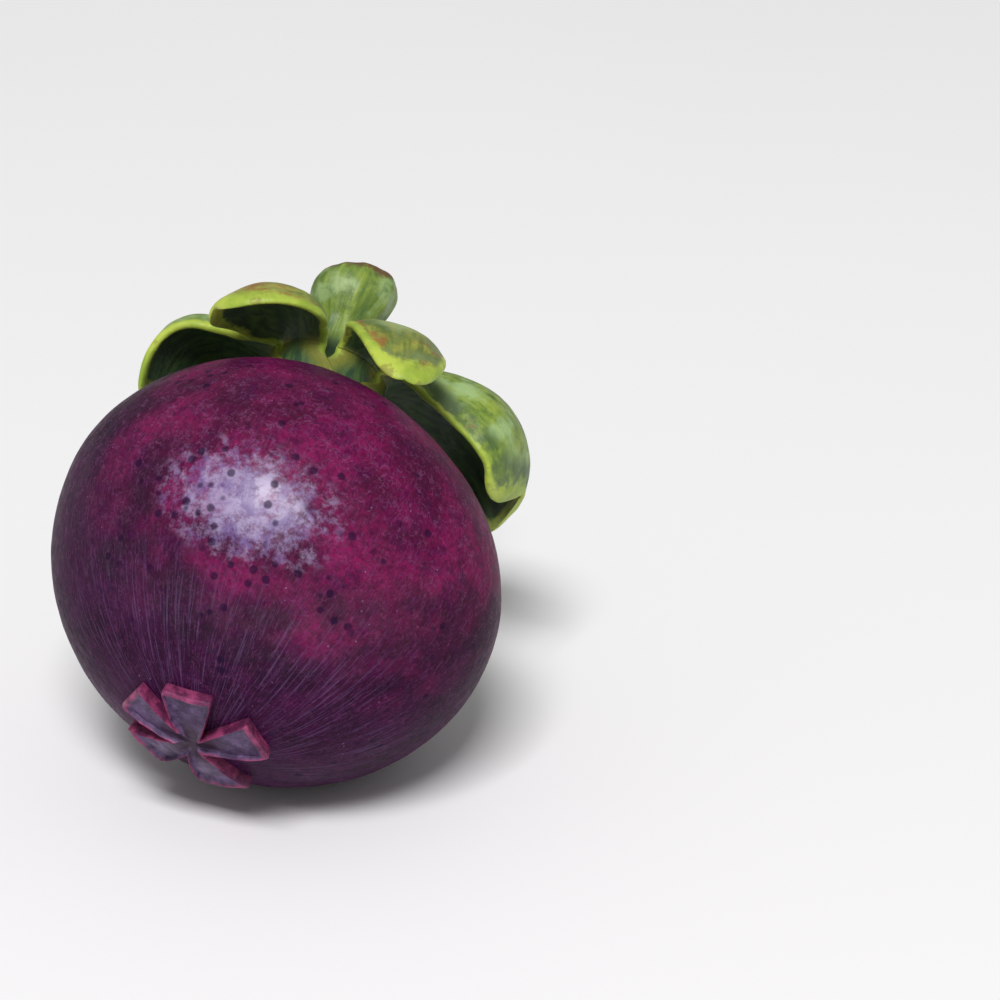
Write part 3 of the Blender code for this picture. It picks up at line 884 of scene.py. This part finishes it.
def rind_material():
    """Maroon rind with painted light, shade and highlight, violet scribbles, dark spots, pale flecks and a
    thin coat of wax.
    """
    graph = Graph("rind")
    where = graph.place()
    height = graph.add("ShaderNodeSeparateXYZ", {"Vector": where}).outputs["Z"]
    way = graph.add("ShaderNodeVectorMath", {0: where}, operation="NORMALIZE").outputs[0]
    off_highlight = graph.apart(way, PAINTED_HIGHLIGHT_FACING, PAINTED_HIGHLIGHT_REACH)
    speckle = graph.noise(where, 620.0, 4.0, 0.75)
    thin = rind_curls(graph, where, height)
    spots = rind_spots(graph, where, off_highlight)
    colour = rind_ground(graph, where, way, height)
    colour = add_rind_lines(graph, colour, thin, height)
    # Paints the highlight onto the rind.
    colour = add_painted_highlight(graph, colour, where, off_highlight, speckle)
    colour = graph.blend(graph.maths("MULTIPLY", spots, 0.75), colour, srgb(RIND_SPOTS))
    colour = graph.blend(rind_flecks(graph, where), colour, srgb(RIND_FLECKS))
    wax = graph.step(off_highlight, 2.6, 0.8, 0.06, 0.62)
    wax = graph.maths("MULTIPLY", wax, graph.step(speckle, 0.34, 0.60, 0.45, 1.0))
    wax = graph.maths("MULTIPLY", wax, graph.step(spots, 0.0, 1.0, 1.0, 0.2))
    graph.feed(graph.shader.inputs["Coat Weight"], wax)
    rough = graph.step(speckle, 0.34, 0.66, 0.36, 0.52)
    fine = graph.maths("ADD", graph.noise(where, 900.0, 4.0, 0.75), graph.maths("MULTIPLY", thin, 0.3))
    return graph.finish(colour, rough, fine, 0.00007, Specular_IOR_Level=0.02, Coat_Roughness=0.30)


def leaf_streaks(graph, across, along):
    """Noise drawn out from a sepal's foot to its tip."""
    where = graph.combine(
        graph.maths("MULTIPLY", graph.mask("aside"), across),
        graph.maths("MULTIPLY", graph.mask("share"), along),
        0.0,
    )
    return graph.noise(where, 1.0, 4.0, 0.6, 0.6)


def sepal_top(graph, streaks, patches, fine_patches):
    """Streaked green with yellow patches and pale patches, partly waxy and partly painted highlight, darker
    at the foot.
    """
    top = graph.blend(graph.step(streaks, 0.36, 0.66), srgb(LEAF_DARK), srgb(LEAF_BRIGHT))
    top = graph.blend(graph.step(fine_patches, 0.44, 0.66, 0.0, 0.5), top, srgb(LEAF_YELLOW))
    # Pale patches, partly a waxy tone and partly painted highlight.
    top = graph.blend(graph.step(patches, 0.47, 0.64, 0.0, 0.8), top, srgb(LEAF_WAX_AND_HIGHLIGHT))
    near_foot = graph.step(graph.mask("share"), 0.34, 0.05, 0.0, 0.4)
    return graph.blend(near_foot, top, srgb(LEAF_FOOT))


def add_sepal_shading(graph, top, where, streaks, patches, blush, shade):
    """Warms the tip, paints shade into the band beside the rim and adds brown-red spots inside it."""
    share = graph.mask("share")
    edge = graph.mask("edge")
    warm = graph.maths("MULTIPLY", graph.step(share, 0.35, 0.75), graph.step(streaks, 0.36, 0.60, 0.3, 1.0))
    top = graph.blend(graph.maths("MULTIPLY", warm, blush), top, srgb(LEAF_WARM))
    # Painted shade on the top in the band beside the rim.
    beside = graph.maths("MULTIPLY", graph.step(edge, 0.0046, 0.0022), graph.step(patches, 0.40, 0.56))
    top = graph.blend(graph.maths("MULTIPLY", beside, shade), top, srgb(LEAF_PAINTED_SHADE))
    red = graph.maths("MULTIPLY", graph.step(edge, 0.0004, 0.0009), graph.step(edge, 0.0034, 0.0014))
    red_spots = graph.step(graph.noise(where, 230.0, 4.0, 0.65), 0.62 - 0.3 * blush, 0.74 - 0.3 * blush)
    red = graph.maths("MULTIPLY", red, red_spots)
    red = graph.maths("MULTIPLY", red, graph.step(share, 0.25, 0.6))
    return graph.blend(graph.maths("MULTIPLY", red, 0.75), top, srgb(LEAF_RED))


def sepal_underside(graph, streaks):
    """Dark streaked green with a yellow-olive margin at the foot."""
    under = graph.blend(graph.step(streaks, 0.38, 0.64), srgb(UNDER_DARK), srgb(UNDER_BRIGHT))
    low = graph.step(graph.mask("share"), 0.12, -0.01)
    foot = graph.maths("MULTIPLY", low, graph.step(graph.mask("edge"), 0.0042, 0.0012))
    return graph.blend(foot, under, srgb(UNDER_FOOT))


def add_sepal_rim(graph, colour, where, patches, fine_patches):
    """A bright ragged rim, worn brown in places."""
    ragged = graph.step(fine_patches, 0.3, 0.7, -0.0003, 0.0003)
    ragged = graph.maths("ADD", graph.mask("edge"), ragged)
    rim = graph.blend(graph.step(patches, 0.36, 0.64), srgb(RIM_DARK), srgb(RIM_BRIGHT))
    open_part = graph.step(graph.mask("share"), -0.12, -0.03)
    rim_share = graph.maths("MULTIPLY", graph.step(ragged, 0.0011, 0.0005), open_part)
    colour = graph.blend(rim_share, colour, rim)
    worn = graph.step(graph.noise(where, 330.0, 3.0, 0.6), 0.60, 0.70, 0.0, 0.6)
    worn = graph.maths("MULTIPLY", worn, graph.step(ragged, 0.0010, 0.0004))
    return graph.blend(worn, colour, srgb(RIM_WORN))


def sepal_material(name, blush, shade):
    """Green sepal: streaked top, dark underside, bright rim and brown-red patches inside the rim.

    blush is how much of the tip is brown-red, and shade how dark the painted shade on the top beside the rim
    is.
    """
    graph = Graph(name)
    where = graph.place()
    streaks = leaf_streaks(graph, 700.0, 5.0)
    patches = graph.noise(where, 170.0, 3.0, 0.6)
    fine_patches = graph.noise(where, 420.0, 4.0, 0.65)
    top = sepal_top(graph, streaks, patches, fine_patches)
    top = add_sepal_shading(graph, top, where, streaks, patches, blush, shade)
    colour = graph.blend(graph.mask("under"), top, sepal_underside(graph, streaks))
    colour = add_sepal_rim(graph, colour, where, patches, fine_patches)
    specks = graph.step(graph.cells(where, 800.0), 0.10, 0.03, 0.0, 0.5)
    colour = graph.blend(specks, colour, srgb(LEAF_SPECKS))
    rough = graph.step(graph.noise(where, 500.0, 3.0, 0.6), 0.3, 0.7, 0.42, 0.62)
    fine = graph.maths("ADD", graph.noise(where, 1100.0, 3.0, 0.7), streaks)
    return graph.finish(colour, rough, fine, 0.00012)


def stem_material():
    """Green stem with light and dark ridges, painted shade on its foot and a brown cut end."""
    graph = Graph("stem")
    where = graph.place()
    turn = graph.mask("turn")
    height = graph.mask("height")
    round_place = graph.combine(
        graph.maths("MULTIPLY", graph.maths("COSINE", turn), 3.0),
        graph.maths("MULTIPLY", graph.maths("SINE", turn), 3.0),
        graph.maths("MULTIPLY", height, 140.0),
    )
    streaks = graph.noise(round_place, 1.0, 4.0, 0.65, 0.6)
    colour = graph.blend(graph.step(streaks, 0.30, 0.68), srgb(STEM_DARK), srgb(STEM_BRIGHT))
    pale = graph.step(graph.noise(where, 190.0, 3.0, 0.6), 0.46, 0.62, 0.0, 0.8)
    colour = graph.blend(pale, colour, srgb(STEM_PALE))
    blotches = graph.step(graph.noise(where, 520.0, 4.0, 0.6), 0.52, 0.66, 0.0, 0.5)
    colour = graph.blend(blotches, colour, srgb(STEM_BLOTCHES))
    # Painted shade: the foot, down among the sepals' claws, is painted dark.
    colour = graph.blend(graph.step(height, 0.0064, 0.0016), colour, srgb(STEM_FOOT_PAINTED_SHADE))
    ragged = graph.step(graph.noise(where, 360.0, 3.0, 0.6), 0.3, 0.7, -0.0008, 0.0008)
    worn = graph.step(graph.maths("ADD", height, ragged), 0.0138, 0.0150)
    colour = graph.blend(graph.maths("MULTIPLY", worn, 0.9), colour, srgb(STEM_CUT))
    rough = graph.step(graph.noise(where, 500.0, 3.0, 0.6), 0.3, 0.7, 0.45, 0.65)
    fine = graph.maths("ADD", graph.noise(where, 1200.0, 3.0, 0.7), streaks)
    return graph.finish(colour, rough, fine, 0.0001)


def stigma_material():
    """Rosette with magenta-pink rims and blue-grey hollows that darken to the hub."""
    graph = Graph("stigma")
    where = graph.place()
    mottled = graph.noise(where, 420.0, 4.0, 0.65)
    hollow = graph.blend(graph.step(mottled, 0.36, 0.64), srgb(HOLLOW_DARK), srgb(HOLLOW_BRIGHT))
    hub = graph.step(graph.mask("share"), 0.62, 0.22)
    hollow = graph.blend(hub, hollow, srgb(HUB_DARK))
    pink = graph.blend(graph.step(mottled, 0.36, 0.66), srgb(PINK_DARK), srgb(PINK_BRIGHT))
    worn = graph.maths("ADD", graph.mask("rim"), graph.step(mottled, 0.3, 0.7, -0.3, 0.15))
    colour = graph.blend(graph.step(worn, 0.35, 1.0, 0.0, 0.9), hollow, pink)
    specks = graph.step(graph.cells(where, 620.0), 0.12, 0.04, 0.0, 0.6)
    colour = graph.blend(specks, colour, srgb(ROSETTE_SPECKS))
    rough = graph.step(graph.noise(where, 600.0, 3.0, 0.6), 0.3, 0.7, 0.45, 0.68)
    fine = graph.maths("ADD", graph.noise(where, 900.0, 4.0, 0.7), mottled)
    return graph.finish(colour, rough, fine, 0.0001, Specular_Tint=srgb(ROSETTE_SHEEN))


def floor_material():
    """Smooth pale studio floor with a faint unevenness."""
    graph = Graph("floor")
    tone = graph.noise(graph.add("ShaderNodeTexCoord", {}).outputs["Object"], 6.0, 2.0)
    dark, bright = ((grey, grey, grey, 1.0) for grey in FLOOR_TONES)
    colour = graph.blend(tone, dark, bright)
    return graph.finish(colour, graph.step(tone, 0.0, 1.0, 0.55, 0.65), tone, 0.0)


# ---------------------------------------------------------------- stage


def camera_axes():
    tilt = math.radians(CAMERA_ELEVATION)
    toward = Vector((0.0, -math.cos(tilt), math.sin(tilt)))
    right = Vector((1.0, 0.0, 0.0))
    return right, toward.cross(right), toward


def add_camera(centre):
    right, up, toward = camera_axes()
    data = bpy.data.cameras.new("camera")
    data.sensor_width = SENSOR_WIDTH
    data.lens = SENSOR_WIDTH * CAMERA_DISTANCE / VIEW_WIDTH
    camera = bpy.data.objects.new("camera", data)
    bpy.context.scene.collection.objects.link(camera)
    place = centre + right * AIM_RIGHT + up * AIM_UP + toward * CAMERA_DISTANCE
    camera.matrix_world = Matrix.Translation(place) @ Matrix((right, up, toward)).transposed().to_4x4()
    bpy.context.scene.camera = camera


def add_softbox(name, centre, way, long_way, distance, size, watts, colour):
    """A rectangular light that faces the fruit. way points from the fruit to the light."""
    back = Vector(way).normalized()
    long_side = Vector(long_way)
    long_side = (long_side - back * long_side.dot(back)).normalized()
    data = bpy.data.lights.new(name, "AREA")
    data.shape = "RECTANGLE"
    data.size, data.size_y = size
    data.energy = watts
    data.color = colour
    light = bpy.data.objects.new(name, data)
    bpy.context.scene.collection.objects.link(light)
    turn = Matrix((long_side, back.cross(long_side), back)).transposed().to_4x4()
    light.matrix_world = Matrix.Translation(centre + back * distance) @ turn


def add_world(strength):
    world = bpy.data.worlds.new("studio")
    bpy.context.scene.world = world
    world.use_nodes = True
    background = world.node_tree.nodes["Background"]
    background.inputs["Color"].default_value = (1.0, 1.0, 1.0, 1.0)
    background.inputs["Strength"].default_value = strength


def add_floor():
    mesh = bpy.data.meshes.new("floor")
    half = FLOOR_HALF_WIDTH
    corners = [(-half, -half, 0.0), (half, -half, 0.0), (half, half, 0.0), (-half, half, 0.0)]
    mesh.from_pydata(corners, [], [(0, 1, 2, 3)])
    floor = bpy.data.objects.new("floor", mesh)
    bpy.context.scene.collection.objects.link(floor)
    mesh.materials.append(floor_material())


def build_model():
    fruit = fruit_matrix()
    calyx = fruit @ calyx_in_fruit()
    add_to_model(rind_piece(fruit), "fruit", rind_material())
    add_to_model(stigma_piece(fruit), "stigma", stigma_material())
    add_to_model(stem_piece(calyx), "stem", stem_material())
    for number, (name, spec) in enumerate(SEPALS.items()):
        piece = sepal_piece(name.replace("sepal", "calyx"), spec, calyx, SEPAL_FIRST_SEED + number)
        add_to_model(piece, name, sepal_material(name, spec["blush"], spec["shade"]))
    return fruit.translation


def build_stage(centre):
    add_camera(centre)
    add_softbox("key", centre, KEY_WAY, KEY_LONG_WAY, KEY_DISTANCE, KEY_SIZE, KEY_WATTS, KEY_COLOUR)
    add_world(WORLD_STRENGTH)
    add_floor()
    bpy.context.scene.view_settings.view_transform = "Standard"


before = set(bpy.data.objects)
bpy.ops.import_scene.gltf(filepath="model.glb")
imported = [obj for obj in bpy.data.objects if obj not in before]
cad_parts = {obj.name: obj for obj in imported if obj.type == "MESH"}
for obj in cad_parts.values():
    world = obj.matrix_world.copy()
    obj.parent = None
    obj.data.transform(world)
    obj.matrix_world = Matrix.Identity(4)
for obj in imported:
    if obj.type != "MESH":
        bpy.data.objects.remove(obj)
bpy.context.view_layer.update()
build_stage(build_model())
